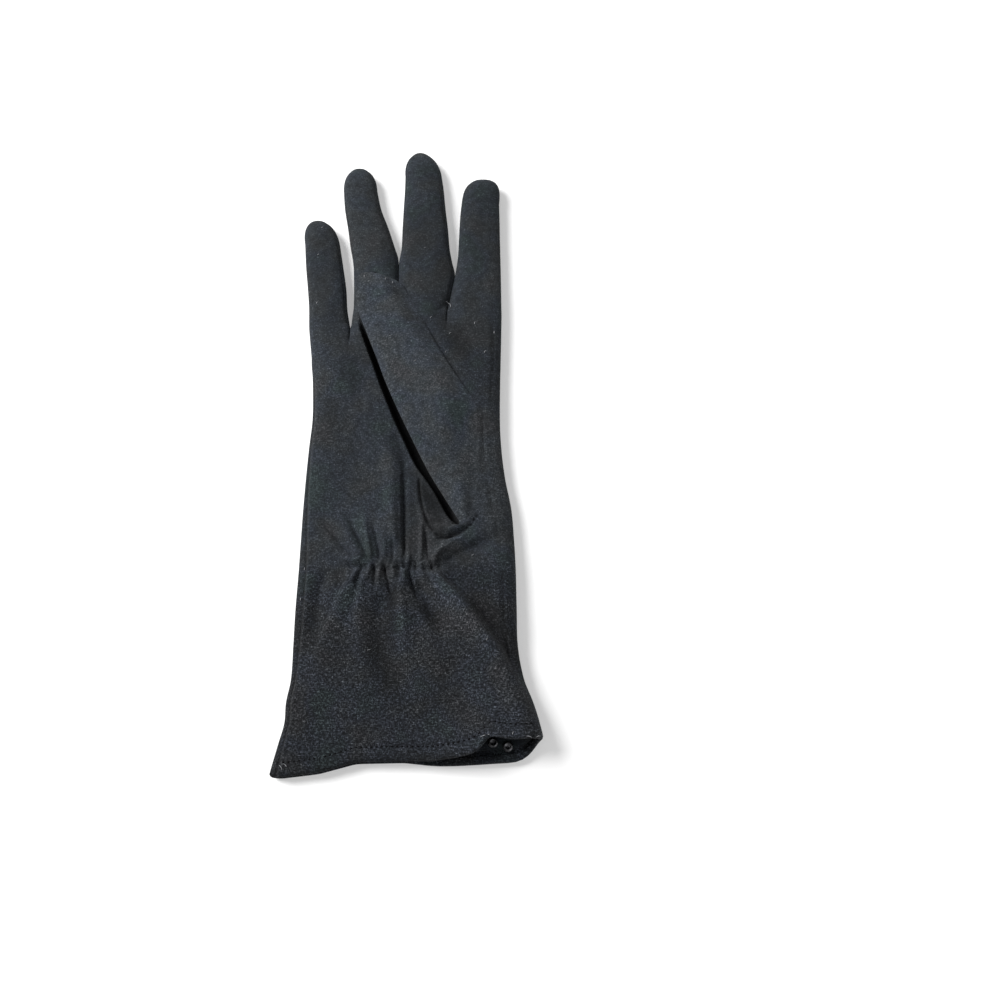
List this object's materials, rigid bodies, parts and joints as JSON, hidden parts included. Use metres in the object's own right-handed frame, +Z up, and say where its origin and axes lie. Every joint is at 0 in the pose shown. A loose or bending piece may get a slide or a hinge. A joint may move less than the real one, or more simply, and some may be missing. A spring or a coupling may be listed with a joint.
{
  "type": "studded dress glove",
  "caption": "Black knitted dress glove for a right hand, lying palm up with the thumb folded over, a gathered wrist and a flared hemmed cuff with small studs in its back.",
  "frame": {"origin": "below the middle of the outline, on the surface that the glove lies on", "axes": "+X to the thumb side, +Y from the cuff to the fingertips, +Z up out of the palm"},
  "size_m": [0.1056, 0.288, 0.0174],
  "materials": {
    "black_knit": "fine black heathered jersey knit, matt with a faint fuzz",
    "stud_metal": "dark polished metal studs"
  },
  "bodies": {
    "root": {"cuff_palm": "black_knit", "palm_panel": "black_knit", "fingers_palm": "black_knit", "cuff_back": "black_knit", "back_panel": "black_knit", "fingers_back": "black_knit", "fourchette_ring_little": "black_knit", "fourchette_middle_ring": "black_knit", "fourchette_index_middle": "black_knit", "thumb": "black_knit", "cuff_hem": "black_knit", "stud_1": "stud_metal", "stud_2": "stud_metal"}
  },
  "joints": []
}
